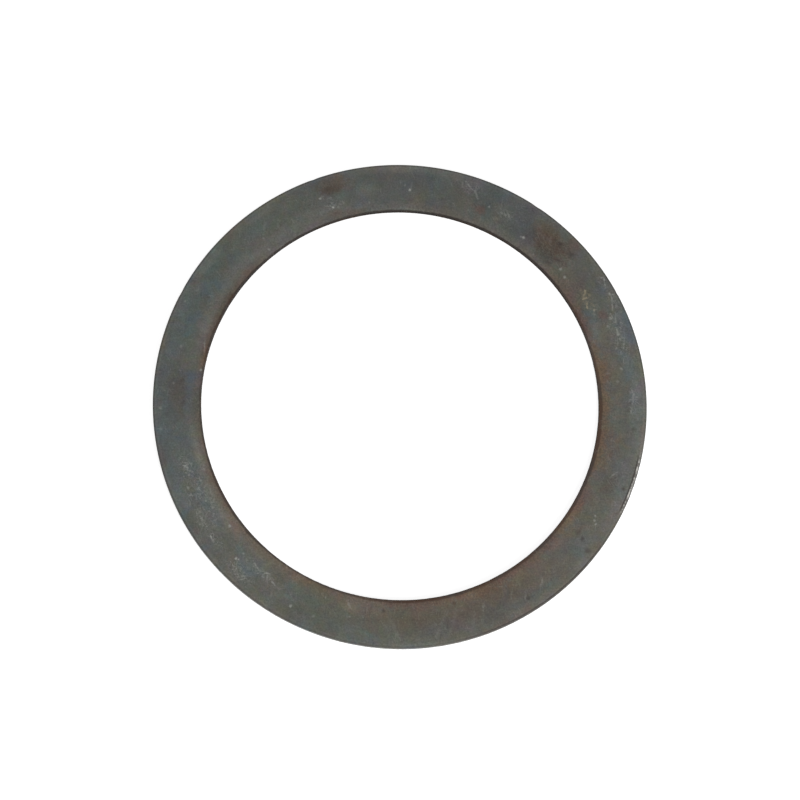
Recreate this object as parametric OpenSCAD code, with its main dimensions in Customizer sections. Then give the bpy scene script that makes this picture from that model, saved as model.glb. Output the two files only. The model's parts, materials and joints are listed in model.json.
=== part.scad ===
// Flat steel washer of the shim ring kind, punched from sheet in one stroke.
// It fills the gap between a shaft's shoulder and a bearing in its housing.
// Millimetres, +Z up, origin at the centre of the bore on the lower face.

/* [Ring] */
// Diameter of the shaft that passes through the bore
shaft_d = 80; // [40:1:90]
// Diameter of the housing bore that the ring lies in
housing_d = 100; // [98:1:160]
// Thickness of the sheet
thickness = 2; // [1.6:0.1:5]

/* [Fit] */
// How much wider the bore is than the shaft, on the diameter
bore_play = 0.25; // [0.1:0.05:1]
// How much narrower the rim is than the housing bore, on the diameter
rim_play = 0.3; // [0.1:0.05:1]

/* [Sheared edge] */
// Radius of the corner that the punch drew down, at the upper face
rolled_r = 0.3; // [0.05:0.05:0.5]
// Height of the smooth land's lower end, where the torn band starts
torn_h = 0.55; // [0.3:0.05:0.8]
// How far the torn band leans back into the sheet
torn_lean = 0.06; // [0.02:0.01:0.12]
// Radius of the worn corner at the lower face, where the burr came off
worn_r = 0.12; // [0.05:0.01:0.2]

/* [Hidden] */
$fn = 180;
// How far each cutting shape runs past the sheet
past = 0.5;
bore_r = (shaft_d + bore_play) / 2;
rim_r = (housing_d - rim_play) / 2;

// What rounding takes off a square corner at the origin, with the sheet to its left and below
module corner_waste(r) {
    difference() {
        translate([-r, -r]) square(r + past);
        translate([-r, -r]) circle(r);
    }
}

// What the sheared wall loses beside a straight cut at x = 0, with the sheet on the left.
// From the top: a rolled corner, the smooth land, the torn band and the worn corner.
module wall_waste() {
    translate([0, thickness]) corner_waste(rolled_r);
    polygon([[0, torn_h], [-torn_lean, worn_r], [-torn_lean, -past], [past, -past], [past, torn_h]]);
    translate([-torn_lean, 0]) mirror([0, 1]) corner_waste(worn_r);
}

// The ring's section, with its radius along X and its height along Y.
// One stroke cuts both walls, so both rolled corners lie on the upper face.
module section() {
    difference() {
        translate([bore_r, 0]) square([rim_r - bore_r, thickness]);
        translate([rim_r, 0]) wall_waste();
        translate([bore_r, 0]) mirror([1, 0]) wall_waste();
    }
}

module washer() {
    color([0.36, 0.36, 0.34]) rotate_extrude() section();
}

washer();
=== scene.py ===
# A thin steel ring washer, grey with oxide, rusty round the bore and worn to bare steel on part of the rim,
# with a painted highlight on it
import json
from math import cos, pi, radians, sin, sqrt

import bpy
from mathutils import Matrix, Vector


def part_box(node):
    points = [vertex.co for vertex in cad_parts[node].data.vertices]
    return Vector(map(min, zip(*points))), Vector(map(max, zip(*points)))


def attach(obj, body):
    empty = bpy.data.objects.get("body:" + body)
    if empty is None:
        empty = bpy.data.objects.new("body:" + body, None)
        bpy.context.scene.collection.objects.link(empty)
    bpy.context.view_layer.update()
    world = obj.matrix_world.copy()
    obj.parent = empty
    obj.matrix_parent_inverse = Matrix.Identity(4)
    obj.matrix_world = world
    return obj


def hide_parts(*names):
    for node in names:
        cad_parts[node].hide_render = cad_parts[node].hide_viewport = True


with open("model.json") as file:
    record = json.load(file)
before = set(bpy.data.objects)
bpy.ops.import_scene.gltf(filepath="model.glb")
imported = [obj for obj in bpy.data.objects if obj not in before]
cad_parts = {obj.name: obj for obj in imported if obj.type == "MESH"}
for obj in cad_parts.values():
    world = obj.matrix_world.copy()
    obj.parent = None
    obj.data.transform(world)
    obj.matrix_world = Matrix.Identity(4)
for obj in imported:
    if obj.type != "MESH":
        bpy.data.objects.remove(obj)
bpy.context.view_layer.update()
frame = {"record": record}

mm = 0.001  # metres in a millimetre
mounts = {mount["name"]: mount for mount in frame["record"]["mounts"]}
boreRadius = mounts["bore"]["dims"]["r_mm"]
rimRadius = mounts["rim"]["dims"]["r_mm"]
landLength = mounts["bore"]["dims"]["length_mm"]
landMiddle = mounts["bore"]["pos_m"][2] / mm
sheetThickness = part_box("washer")[1].z / mm
tornHeight = landMiddle - landLength / 2
rolledCorner = sheetThickness - landMiddle - landLength / 2
scene = bpy.context.scene
print("frame loaded: bore", boreRadius, "rim", rimRadius, "sheet", round(sheetThickness, 3), "mm")


# Noise in the finishes: size in mm, detail, roughness, distortion
patterns = {
    "strokes": (1.0, 1.0, 0.5, 0.0),
    "strokePatches": (2.6, 1.0, 0.5, 0.0),
    "hairs": (1 / 2.3, 1.0, 0.5, 0.0),
    "hairGaps": (2.6, 2.0, 0.5, 0.0),
    "drift": (8.0, 3.0, 0.6, 0.6),
    "mottle": (6.0, 7.0, 0.93, 0.5),
    "speckle": (0.34, 1.0, 0.6, 0.0),
    "hues": (1 / 0.30, 3.0, 0.55, 1.0),
    "scuffs": (1.0, 1.5, 0.55, 0.5),
    "scuffPatches": (0.7, 1.0, 0.5, 0.0),
    "haze": (0.5, 2.0, 0.6, 0.0),
    "chipEdges": (0.3, 2.0, 0.5, 0.0),
    "rustSpots": (1.6, 4.0, 0.7, 0.0),
    "crust": (0.45, 3.0, 0.7, 0.0),
    "tooth": (0.16, 2.0, 0.6, 0.0),
    "swell": (0.9, 2.0, 0.5, 0.0),
    "ragged": (1.5, 4.0, 0.7, 0.0),
    "grains": (0.5, 3.0, 0.7, 0.0),
    "jag": (0.45, 2.0, 0.6, 0.0),
    "dashes": (0.9, 3.0, 0.6, 0.0),
    "scoring": (1.0, 3.0, 0.7, 0.0),
    "wander": (2.4, 2.0, 0.5, 0.0),
    "blotches": (2.8, 4.0, 0.65, 0.0),
    "torn": (0.3, 3.0, 0.7, 0.0),
    "rustPatches": (11.0, 5.0, 0.6, 0.0),
}

# Node helpers: each works in the node tree that the sockets given to it belong to

def join(value, socket):
    # An output is linked to the socket, and a plain value is set on it
    if isinstance(value, bpy.types.NodeSocket):
        value.id_data.links.new(value, socket)
    else:
        socket.default_value = value


def put(kind, inputs, tree=None, **settings):
    for value in inputs.values():
        if isinstance(value, bpy.types.NodeSocket):
            tree = value.id_data
    node = tree.nodes.new("ShaderNode" + kind)
    for name, value in settings.items():
        setattr(node, name, value)
    for key, value in inputs.items():
        join(value, node.inputs[key])
    return node


def calc(operation, *parts):
    return put("Math", dict(enumerate(parts)), operation=operation).outputs[0]


def plus(total, *others):
    for other in others:
        total = calc("ADD", total, other)
    return total


def times(total, *others):
    for other in others:
        total = calc("MULTIPLY", total, other)
    return total


def most(total, *others):
    for other in others:
        total = calc("MAXIMUM", total, other)
    return total


def less(value, part):
    return calc("SUBTRACT", value, part)


def centred(value):
    return less(value, 0.5)


def fade(value, fromLow, fromHigh, toLow=0.0, toHigh=1.0):
    inputs = {"Value": value, "From Min": fromLow, "From Max": fromHigh, "To Min": toLow, "To Max": toHigh}
    # The smooth step never leaves its range, and the node's own clamp would only hold up shader memory
    return put("MapRange", inputs, interpolation_type="SMOOTHSTEP", clamp=False).outputs["Result"]


def blend(factor, under, over, how="MIX"):
    return put("Mix", {0: factor, 6: under, 7: over}, data_type="RGBA", blend_type=how).outputs[2]


def brighten(color, by):
    return put("HueSaturation", {"Color": color, "Value": by}).outputs[0]


def noise(place, name, output="Fac"):
    size, detail, rough, warp = patterns[name]
    inputs = {"Vector": place, "Scale": 1.0 / size, "Detail": detail, "Roughness": rough, "Distortion": warp}
    return put("TexNoise", inputs).outputs[output]


def stretch(place, tilt, length, width, shift):
    # A place on which noise comes out as strokes, laid at a tilt in degrees
    inputs = {"Vector": place, "Location": shift, "Rotation": (0.0, 0.0, radians(tilt)),
              "Scale": (length, width, 1.0)}
    return put("Mapping", inputs, vector_type="TEXTURE").outputs[0]


def newGroup(name, inputs, outputs):
    # Each socket has its kind, or for a plain number its first value
    tree = bpy.data.node_groups.new(name, "ShaderNodeTree")
    for side, sockets in (("INPUT", inputs), ("OUTPUT", outputs)):
        for socketName, kind in sockets.items():
            named = isinstance(kind, str)
            socket = tree.interface.new_socket(
                name=socketName, in_out=side, socket_type="NodeSocket" + (kind if named else "Float"))
            if not named:
                socket.default_value = kind
    return tree.nodes.new("NodeGroupInput").outputs, tree.nodes.new("NodeGroupOutput").inputs


def useGroup(name, **values):
    return put("Group", values, node_tree=bpy.data.node_groups[name]).outputs


def newMaterial(name):
    material = bpy.data.materials.new(name)
    material.use_nodes = True
    return material


def setSurface(material, values):
    surface = material.node_tree.nodes["Principled BSDF"].inputs
    for name, value in values.items():
        join(value, surface[name])


# Camera, lamps and floor

studio = {
    "elevation": 77.69,  # degrees above the floor
    "distance": 0.70,  # metres from the aim point
    "lens": 156.0,  # millimetres
    "sensor": 36.0,
    "clip": (0.01, 20.0),  # metres
    "roll": 10.29,  # degrees, which turns the picture clockwise
    "aim": (-0.20 * mm, 0.78 * mm, 1.0 * mm),
    "skyLevel": 0.50,  # how much of the light comes evenly from all round
    "keyPlace": (0.20, -0.20, 0.20),
    "keySize": 0.24,
    "keyPower": 1.12,
    "fillPlace": (-0.30, 0.35, 0.40),
    "fillSize": 0.40,
    "fillPower": 0.6,
    "floorSize": 6.0,
    "floorDrop": 0.02 * mm,  # keeps the floor just clear of the lower face
    "floorColor": (0.50, 0.50, 0.50, 1.0),
    "floorRough": 0.9,
    "floorGlow": 0.785,  # lifts the open floor to white for the camera only, and keeps the shadow
}
white = (1.0, 1.0, 1.0, 1.0)


def addCamera():
    data = bpy.data.cameras.new("camera")
    data.lens = studio["lens"]
    data.sensor_width = studio["sensor"]
    data.clip_start, data.clip_end = studio["clip"]
    camera = bpy.data.objects.new("camera", data)
    scene.collection.objects.link(camera)
    elevation = radians(studio["elevation"])
    back = Vector((0.0, -cos(elevation), sin(elevation)))
    camera.location = Vector(studio["aim"]) + back * studio["distance"]
    tip = Matrix.Rotation(pi / 2 - elevation, 4, "X")
    roll = Matrix.Rotation(radians(studio["roll"]), 4, "Z")
    camera.rotation_euler = (tip @ roll).to_euler()
    bpy.context.scene.camera = camera


def addLamp(name, place, size, power):
    data = bpy.data.lights.new(name, "AREA")
    data.shape = "DISK"
    data.size = size
    data.energy = power
    lamp = bpy.data.objects.new(name, data)
    scene.collection.objects.link(lamp)
    lamp.location = place
    lamp.rotation_euler = (-Vector(place)).to_track_quat("-Z", "Y").to_euler()


def whereSeen(tree, unseen, seen):
    # One level for what the camera and reflections see, and another for what only lights the ring
    path = put("LightPath", {}, tree).outputs
    looked = most(path["Is Camera Ray"], path["Is Glossy Ray"])
    return put("MapRange", {"Value": looked, "To Min": unseen, "To Max": seen}).outputs["Result"]


def addSky():
    world = bpy.data.worlds.new("studioSky")
    world.use_nodes = True
    world.node_tree.nodes.clear()
    scene.world = world
    sky = put("Background", {"Strength": whereSeen(world.node_tree, studio["skyLevel"], 1.0)})
    put("OutputWorld", {"Surface": sky.outputs["Background"]})


def addFloor():
    bpy.ops.mesh.primitive_plane_add(size=studio["floorSize"], location=(0.0, 0.0, -studio["floorDrop"]))
    floor = bpy.context.object
    floor.name = "floor"
    material = newMaterial("whiteFloor")
    glow = whereSeen(material.node_tree, 0.0, studio["floorGlow"])
    setSurface(material, {"Base Color": studio["floorColor"], "Roughness": studio["floorRough"],
                          "Specular IOR Level": 0.0, "Emission Color": white, "Emission Strength": glow})
    floor.data.materials.append(material)


bpy.ops.object.select_all(action="DESELECT")
addCamera()
addLamp("keyLamp", studio["keyPlace"], studio["keySize"], studio["keyPower"])
addLamp("fillLamp", studio["fillPlace"], studio["fillSize"], studio["fillPower"])
addSky()
addFloor()
scene.view_settings.view_transform = "Standard"
print("studio set up")


# The ring's shape: its section drawn upright, its corners worked, and the whole turned round the axis

ringShape = {
    "tornLean": 0.06,  # how far the torn band leans back, in mm
    "wornCorner": 0.12,  # radius at the lower face, in mm
    "rolledSteps": 6,
    "wornSteps": 3,
    "topCuts": 25,  # cuts across the upper face
    "lowerCuts": 13,
    "landCuts": 4,
    "tornCuts": 3,
    "steps": 960,  # round the ring
}
# Wear in the mesh: how far it moves in mm, size of its clouds in mm, their depth and contrast, and the shade
# of them that stays still
ringWear = {
    "landLine": (0.22, 2.4, 2, 1.0, 0.5),  # the land's lower line wanders up and down
    "tornRough": (0.07, 0.55, 3, 1.4, 0.75),
    "rustScale": (0.05, 0.5, 3, 1.6, 0.4),
    "faceHollows": (0.012, 1.6, 2, 1.5, 0.6),
    "sheetWave": (0.03, 34.0, 0, 0.8, 0.0),
}
# Where the wear lies, in mm. On the walls, the heights at which it begins, is full, ends and is gone.
wearPlaces = {
    "landLine": (0.12, tornHeight, tornHeight, 1.3),
    "tornRough": (0.02, 0.16, 0.5, 0.62),
    "wallReach": 0.3,  # either side of the walls
    "rustHeights": (0.3, 1.0),  # begins, full
    "rustFromBore": (0.2, 1.4),  # full, gone
    "hollowDepth": 0.05,  # down from the upper face
    "dentReach": (1.2, 0.7),  # in from the rim, and down from the upper face
    "dentFlat": 0.2,  # share of a dent's half width at full depth
}
# Small dents where the rim was knocked: turn in degrees, half width and depth in mm
rimDents = [
    (344.5, 0.9, 0.07), (346.8, 0.6, 0.05), (349.2, 1.1, 0.08), (352.0, 0.7, 0.06), (354.6, 1.0, 0.07),
    (38.0, 0.8, 0.05), (66.0, 1.2, 0.06), (121.0, 0.9, 0.06), (163.0, 1.3, 0.05), (223.5, 1.0, 0.07),
    (248.0, 0.7, 0.05), (281.0, 1.1, 0.06), (311.0, 0.8, 0.07), (329.5, 0.6, 0.05),
]


def pickEdges(ring, test):
    bpy.ops.object.mode_set(mode="OBJECT")
    points = ring.data.vertices
    for point in points:
        point.select = False
    for edge in ring.data.edges:
        edge.select = all(test(points[i].co / mm) for i in edge.vertices)
        if edge.select:
            for i in edge.vertices:
                points[i].select = True
    bpy.ops.object.mode_set(mode="EDIT")


def pickPoints(ring, test):
    bpy.ops.object.mode_set(mode="OBJECT")
    for edge in ring.data.edges:
        edge.select = False
    for point in ring.data.vertices:
        point.select = test(point.co / mm)
    bpy.ops.object.mode_set(mode="EDIT")


def cutEdges(ring, test, cuts):
    pickEdges(ring, test)
    bpy.ops.mesh.subdivide(number_cuts=cuts)


def drawSection():
    middle = (boreRadius + rimRadius) / 2
    bpy.ops.object.select_all(action="DESELECT")
    bpy.ops.mesh.primitive_plane_add(
        size=1.0, location=(middle * mm, 0.0, sheetThickness / 2 * mm), rotation=(pi / 2, 0.0, 0.0))
    ring = bpy.context.object
    ring.name = "washerRing"
    ring.scale = ((rimRadius - boreRadius) * mm, sheetThickness * mm, 1.0)
    bpy.ops.object.transform_apply(location=True, rotation=True, scale=True)
    bpy.ops.object.mode_set(mode="EDIT")
    bpy.ops.mesh.select_mode(type="VERT")
    bpy.ops.mesh.select_all(action="SELECT")
    bpy.ops.mesh.delete(type="ONLY_FACE")
    near = 0.001  # mm
    slack = 0.1  # mm, past the torn band's lean and just short of the worn corner's top
    # The torn band starts at its own height on both walls
    for wall in (boreRadius, rimRadius):
        cutEdges(ring, lambda p: abs(p.x - wall) < near, 1)
    pickPoints(ring, lambda p: abs(p.z - sheetThickness / 2) < near)
    bpy.ops.transform.translate(value=(0.0, 0.0, (tornHeight - sheetThickness / 2) * mm))
    for side in (1, -1):
        pickPoints(ring, lambda p: p.z < near and (p.x - middle) * side > 0)
        bpy.ops.transform.translate(value=(-side * ringShape["tornLean"] * mm, 0.0, 0.0))
    pickPoints(ring, lambda p: p.z > sheetThickness - near)
    bpy.ops.mesh.bevel(offset=rolledCorner * mm, segments=ringShape["rolledSteps"], affect="VERTICES",
                       clamp_overlap=False)
    pickPoints(ring, lambda p: p.z < near)
    bpy.ops.mesh.bevel(offset=ringShape["wornCorner"] * mm, segments=ringShape["wornSteps"],
                       affect="VERTICES", clamp_overlap=False)
    # Points close enough together for the dents, the rust and the torn edge
    cutEdges(ring, lambda p: p.z > sheetThickness - near, ringShape["topCuts"])
    cutEdges(ring, lambda p: p.z < near, ringShape["lowerCuts"])
    for wall in (boreRadius, rimRadius):
        cutEdges(ring, lambda p: abs(p.x - wall) < near and p.z > tornHeight - near, ringShape["landCuts"])
        cutEdges(ring, lambda p: abs(p.x - wall) < slack and slack < p.z < tornHeight + near,
                 ringShape["tornCuts"])
    bpy.ops.object.mode_set(mode="OBJECT")
    return ring


def turnSection(ring):
    screw = ring.modifiers.new("turned", "SCREW")
    screw.axis = "Z"
    screw.angle = 2 * pi
    screw.screw_offset = 0.0
    screw.steps = ringShape["steps"]
    screw.render_steps = ringShape["steps"]
    screw.use_merge_vertices = True
    screw.merge_threshold = 0.001 * mm
    bpy.ops.object.modifier_apply(modifier="turned")
    bpy.ops.object.mode_set(mode="EDIT")
    bpy.ops.mesh.select_all(action="SELECT")
    bpy.ops.mesh.remove_doubles(threshold=0.001 * mm)
    bpy.ops.mesh.normals_make_consistent(inside=False)
    bpy.ops.object.mode_set(mode="OBJECT")


def weigh(ring, name, weightAt):
    group = ring.vertex_groups.new(name=name)
    for point in ring.data.vertices:
        x, y, z = point.co / mm
        weight = weightAt(sqrt(x * x + y * y), z, x, y)
        if weight > 0.001:
            group.add([point.index], min(weight, 1.0), "REPLACE")
    return group.name


def displace(ring, name, amount, still, group="", direction="NORMAL", clouds=None):
    push = ring.modifiers.new(name, "DISPLACE")
    push.strength = amount * mm
    push.mid_level = still
    push.direction = direction
    push.vertex_group = group
    push.texture_coords = "LOCAL"
    if clouds:
        push.texture = clouds
    bpy.ops.object.modifier_apply(modifier=name)


def roughen(ring, name, group="", direction="NORMAL"):
    amount, size, depth, contrast, still = ringWear[name]
    clouds = bpy.data.textures.new(name, "CLOUDS")
    clouds.noise_scale = size * mm
    clouds.noise_depth = depth
    clouds.contrast = contrast
    displace(ring, name, amount, still, group, direction, clouds)


def ramp(value, low, high):
    share = min(max((value - low) / (high - low), 0.0), 1.0)
    return share * share * (3.0 - 2.0 * share)


def dentRim(ring, top):
    dents = []
    for turn, half, depth in rimDents:
        angle = radians(turn)
        dents.append((cos(angle) * rimRadius, sin(angle) * rimRadius, half, depth))
    deepest = max(dent[3] for dent in dents)
    inward, down = wearPlaces["dentReach"]

    def dentWeight(r, z, x, y):
        if r < rimRadius - inward or z < top - down:
            return 0.0
        weight = 0.0
        for dentX, dentY, half, depth in dents:
            away = sqrt((x - dentX) ** 2 + (y - dentY) ** 2 + (z - top) ** 2) / half
            weight = max(weight, (1 - ramp(away, wearPlaces["dentFlat"], 1.0)) * depth / deepest)
        return weight

    displace(ring, "rimDents", -deepest, 0.0, weigh(ring, "rimDents", dentWeight))


def wearRing(ring):
    top = sheetThickness

    def weighWalls(name):
        begins, full, ends, gone = wearPlaces[name]
        reach = wearPlaces["wallReach"]

        def wallWeight(r, z, x, y):
            onWall = r < boreRadius + reach or r > rimRadius - reach
            return onWall * ramp(z, begins, full) * (1 - ramp(z, ends, gone))

        return weigh(ring, name, wallWeight)

    # Torn band: rough, with an uneven line where the smooth land ends
    torn = weighWalls("tornRough")
    line = weighWalls("landLine")
    roughen(ring, "landLine", line, "Z")
    roughen(ring, "tornRough", torn)
    # Rust scale on the bore's rolled corner, its land and a little of the face
    full, gone = wearPlaces["rustFromBore"]
    low, high = wearPlaces["rustHeights"]
    scale = weigh(ring, "rustScale",
                  lambda r, z, x, y: (1 - ramp(r, boreRadius + full, boreRadius + gone)) * ramp(z, low, high))
    roughen(ring, "rustScale", scale)
    below = top - wearPlaces["hollowDepth"]
    roughen(ring, "faceHollows", weigh(ring, "faceHollows", lambda r, z, x, y: ramp(z, below, top)))
    dentRim(ring, top)
    # The sheet isn't quite flat, and never goes below its resting plane
    roughen(ring, "sheetWave", direction="Z")
    ring.vertex_groups.clear()


def nameSides(ring):
    # Which finish each face gets: 0 the upper face and its corners, 1 the rim's wall, 2 the lower face,
    # 3 the bore's wall
    for side in ring.data.polygons:
        height = side.center.z / mm
        inside = sqrt(side.center.x ** 2 + side.center.y ** 2) / mm < (boreRadius + rimRadius) / 2
        if height > sheetThickness - rolledCorner:
            side.material_index = 0
        elif height > ringShape["wornCorner"]:
            side.material_index = 3 if inside else 1
        else:
            side.material_index = 2


ring = drawSection()
turnSection(ring)
nameSides(ring)
wearRing(ring)
bpy.ops.object.select_all(action="DESELECT")
ring.select_set(True)
bpy.context.view_layer.objects.active = ring
bpy.ops.object.shade_smooth_by_angle(angle=radians(50))
print("ring shaped:", len(ring.data.polygons), "faces")


# Effects that the ring's finishes share, each a node group, with sizes in mm

# Rubbing: tilt in degrees, length and width, and a shift that keeps the patterns apart
strokeWays = ((18.0, 3.4, 0.42, 3.0), (93.0, 4.2, 0.36, 17.0), (131.0, 3.8, 0.46, 41.0))
scuffWays = ((112.0, 2.3, 0.95, 5.0), (28.0, 1.9, 0.85, 29.0), (160.0, 1.3, 0.9, 71.0))
# How strong each effect is, with heights in mm
effect = {
    "speckle": 0.70,
    "arcRadius": 45.0,  # where a stain's half arc is measured
    "spotJag": 2.2,
    "scratchJag": 1.6,
    "scratchFaint": 0.35,  # what is left of a scratch at its faintest
    "scuffCrest": (0.042, 1.15),  # width and strength
    "haze": 0.45,
    "chipSizes": (0.03, 0.10),
    "crust": 0.55,
    "rustJag": 0.5,
    "tooth": 0.006,
    "swell": 0.014,
    "pits": 0.006,
    "pitsPerMm": 1.1,
}


def buildRingPlace():
    # Distance from the axis in mm, turn round it in degrees, and the place without its height
    given, out = newGroup(
        "ringPlace", {"place": "Vector"}, {"radius": "Float", "turn": "Float", "flat": "Vector"})
    x, y = put("SeparateXYZ", {0: given["place"]}).outputs[:2]
    join(calc("SQRT", plus(times(x, x), times(y, y))), out["radius"])
    join(calc("WRAP", calc("DEGREES", calc("ARCTAN2", y, x)), 360.0, 0.0), out["turn"])
    join(put("CombineXYZ", {0: x, 1: y}).outputs[0], out["flat"])


def buildStrokes():
    # Rubbing in three directions: soft strokes that lighten and darken, and thin bright hairlines
    given, out = newGroup("strokes", {"place": "Vector"}, {"strokes": "Float", "hairlines": "Float"})
    strokes = hairs = 0.0
    for tilt, length, width, shift in strokeWays:
        laid = stretch(given["place"], tilt, length, width, (shift, -shift, shift))
        where = fade(noise(laid, "strokePatches"), 0.42, 0.62)
        strokes = plus(strokes, times(centred(noise(laid, "strokes")), where))
        hairs = most(hairs, fade(noise(laid, "hairs"), 0.62, 0.74))
    gaps = fade(noise(given["place"], "hairGaps"), 0.44, 0.62)
    join(strokes, out["strokes"])
    join(times(hairs, gaps), out["hairlines"])


def buildOxideFilm():
    # Grey oxide that drifts between three tones, with blotches and a fine speckle.
    # Shade is what the blotches do to any colour that lies in the film.
    given, out = newGroup(
        "oxideFilm", {"place": "Vector", "cool": "Color", "plain": "Color", "warm": "Color",
                      "mottle": 1.4, "hue": 0.6, "strokes": 0.0},
        {"color": "Color", "shade": "Color", "film": "Float"})
    place = given["place"]
    broad = noise(place, "drift")
    color = blend(fade(broad, 0.32, 0.50), given["cool"], given["plain"])
    color = blend(fade(broad, 0.50, 0.66), color, given["warm"])
    mottle = noise(place, "mottle")
    speckle = noise(place, "speckle")
    light = plus(1.0, times(centred(mottle), given["mottle"]), given["strokes"])
    light = plus(light, times(centred(speckle), effect["speckle"]))
    hues = noise(place, "hues", "Color")
    shade = brighten(blend(times(given["hue"], 0.5), white, hues, "LINEAR_LIGHT"), light)
    join(blend(1.0, color, shade, "MULTIPLY"), out["color"])
    join(shade, out["shade"])
    join(mottle, out["film"])


def buildStain():
    # A soft or ragged patch at a place on the ring, halfArc long each way round it and halfReach across it
    given, out = newGroup(
        "stain", {"turn": 0.0, "radius": 0.0, "ragged": 0.5, "atTurn": 0.0, "atRadius": 45.0, "halfArc": 1.0,
                  "halfReach": 1.0, "softness": 0.5, "breakUp": 0.5, "amount": 1.0}, {"mask": "Float"})
    away = calc("WRAP", less(given["turn"], given["atTurn"]), 180.0, -180.0)
    along = calc("DIVIDE", times(away, radians(effect["arcRadius"])), given["halfArc"])
    across = calc("DIVIDE", less(given["radius"], given["atRadius"]), given["halfReach"])
    distance = calc("SQRT", plus(times(along, along), times(across, across)))
    distance = plus(distance, times(centred(given["ragged"]), given["breakUp"]))
    mask = fade(distance, less(1.0, given["softness"]), plus(1.0, given["softness"]), 1.0, 0.0)
    join(times(mask, given["amount"]), out["mask"])


def buildSpot():
    # A small uneven dot
    given, out = newGroup(
        "spot", {"place": "Vector", "jag": 0.5, "at": "Vector", "size": 0.3, "amount": 1.0},
        {"mask": "Float"})
    away = put("VectorMath", {0: given["place"], 1: given["at"]}, operation="DISTANCE").outputs["Value"]
    away = plus(calc("DIVIDE", away, given["size"]), times(centred(given["jag"]), effect["spotJag"]))
    join(times(fade(away, 0.0, 1.35, 1.0, 0.0), given["amount"]), out["mask"])


def buildScratch():
    # One scratch: a soft line through a point, slightly bent, uneven in width and strength.
    # Along and across are its directions, divided by its half length and its half width.
    given, out = newGroup(
        "scratch", {"place": "Vector", "jag": 0.5, "at": "Vector", "along": "Vector", "across": "Vector",
                    "bend": 0.0, "amount": 1.0}, {"mask": "Float"})
    local = put("VectorMath", {0: given["place"], 1: given["at"]}, operation="SUBTRACT").outputs[0]
    along = put("VectorMath", {0: local, 1: given["along"]}, operation="DOT_PRODUCT").outputs["Value"]
    across = put("VectorMath", {0: local, 1: given["across"]}, operation="DOT_PRODUCT").outputs["Value"]
    across = calc("ABSOLUTE", less(across, times(along, along, given["bend"])))
    uneven = centred(given["jag"])
    ends = fade(plus(calc("ABSOLUTE", along), uneven), 0.45, 1.05, 1.0, 0.0)
    line = fade(plus(across, times(uneven, effect["scratchJag"])), 0.1, 1.2, 1.0, 0.0)
    faint = fade(given["jag"], 0.66, 0.40, effect["scratchFaint"], 1.0)
    join(times(ends, line, faint, given["amount"]), out["mask"])


def buildScuffs():
    # Short curved rub marks, close together, over a faint haze
    given, out = newGroup("scuffs", {"place": "Vector"}, {"mask": "Float"})
    marks = 0.0
    for tilt, length, width, shift in scuffWays:
        laid = stretch(given["place"], tilt, length, width, (shift, -shift, 0.0))
        waves = noise(laid, "scuffs")
        crest = fade(calc("ABSOLUTE", centred(waves)), 0.0, *effect["scuffCrest"], 0.0)
        marks = most(marks, times(crest, fade(noise(laid, "scuffPatches"), 0.48, 0.64)))
    haze = fade(noise(given["place"], "haze"), 0.42, 0.72, 0.0, effect["haze"])
    join(most(marks, haze), out["mask"])


def buildChips():
    # Small bright chips, far apart and of different sizes
    given, out = newGroup("chips", {"place": "Vector", "spacing": 2.2, "share": 0.2}, {"mask": "Float"})
    cells = put("TexVoronoi", {"Vector": given["place"],
                               "Scale": calc("DIVIDE", 1.0, given["spacing"])}).outputs
    chance = put("SeparateXYZ", {0: cells["Color"]}).outputs
    kept = calc("LESS_THAN", chance[0], given["share"])
    size = fade(chance[1], 0.0, 1.0, *effect["chipSizes"])
    dot = plus(calc("DIVIDE", cells["Distance"], size), centred(noise(given["place"], "chipEdges")))
    join(times(kept, fade(dot, 0.5, 1.2, 1.0, 0.0)), out["mask"])


def buildRustCoat():
    # Rust over a finish: brown where it is thin, orange in spots, dark where it is thick
    given, out = newGroup(
        "rustCoat", {"place": "Vector", "under": "Color", "thin": "Color", "bloom": "Color", "crust": "Color",
                     "mask": 0.0}, {"color": "Color", "height": "Float"})
    spots = noise(given["place"], "rustSpots")
    grains = noise(given["place"], "crust")
    color = blend(fade(spots, 0.42, 0.66), given["thin"], given["bloom"])
    color = blend(fade(grains, 0.50, 0.70, 0.0, effect["crust"]), color, given["crust"])
    reach = plus(given["mask"], times(centred(grains), effect["rustJag"]))
    cover = times(fade(reach, 0.0, 1.0), fade(given["mask"], 0.0, 0.15))
    join(blend(cover, given["under"], color), out["color"])
    join(times(cover, grains), out["height"])


def buildGrain():
    # Height of the surface in mm: rolling grain, pits and a fine tooth
    given, out = newGroup("grain", {"place": "Vector", "depth": 1.0}, {"height": "Float"})
    tooth = times(noise(given["place"], "tooth"), effect["tooth"])
    swell = times(noise(given["place"], "swell"), effect["swell"])
    cells = put("TexVoronoi", {"Vector": given["place"], "Scale": effect["pitsPerMm"], "Smoothness": 0.4},
                feature="SMOOTH_F1").outputs["Distance"]
    pits = fade(cells, 0.12, 0.38, -effect["pits"], 0.0)
    join(times(plus(tooth, swell, pits), given["depth"]), out["height"])


for build in (buildRingPlace, buildStrokes, buildOxideFilm, buildStain, buildSpot, buildScratch, buildScuffs,
              buildChips, buildRustCoat, buildGrain):
    build()
print("node groups built")


# The finishes

def tone(red, green, blue):
    # A colour as it is seen on screen, 0 to 255, made linear
    def linear(part):
        part /= 255
        return part / 12.92 if part <= 0.04045 else ((part + 0.055) / 1.055) ** 2.4
    return (linear(red), linear(green), linear(blue), 1.0)


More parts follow.
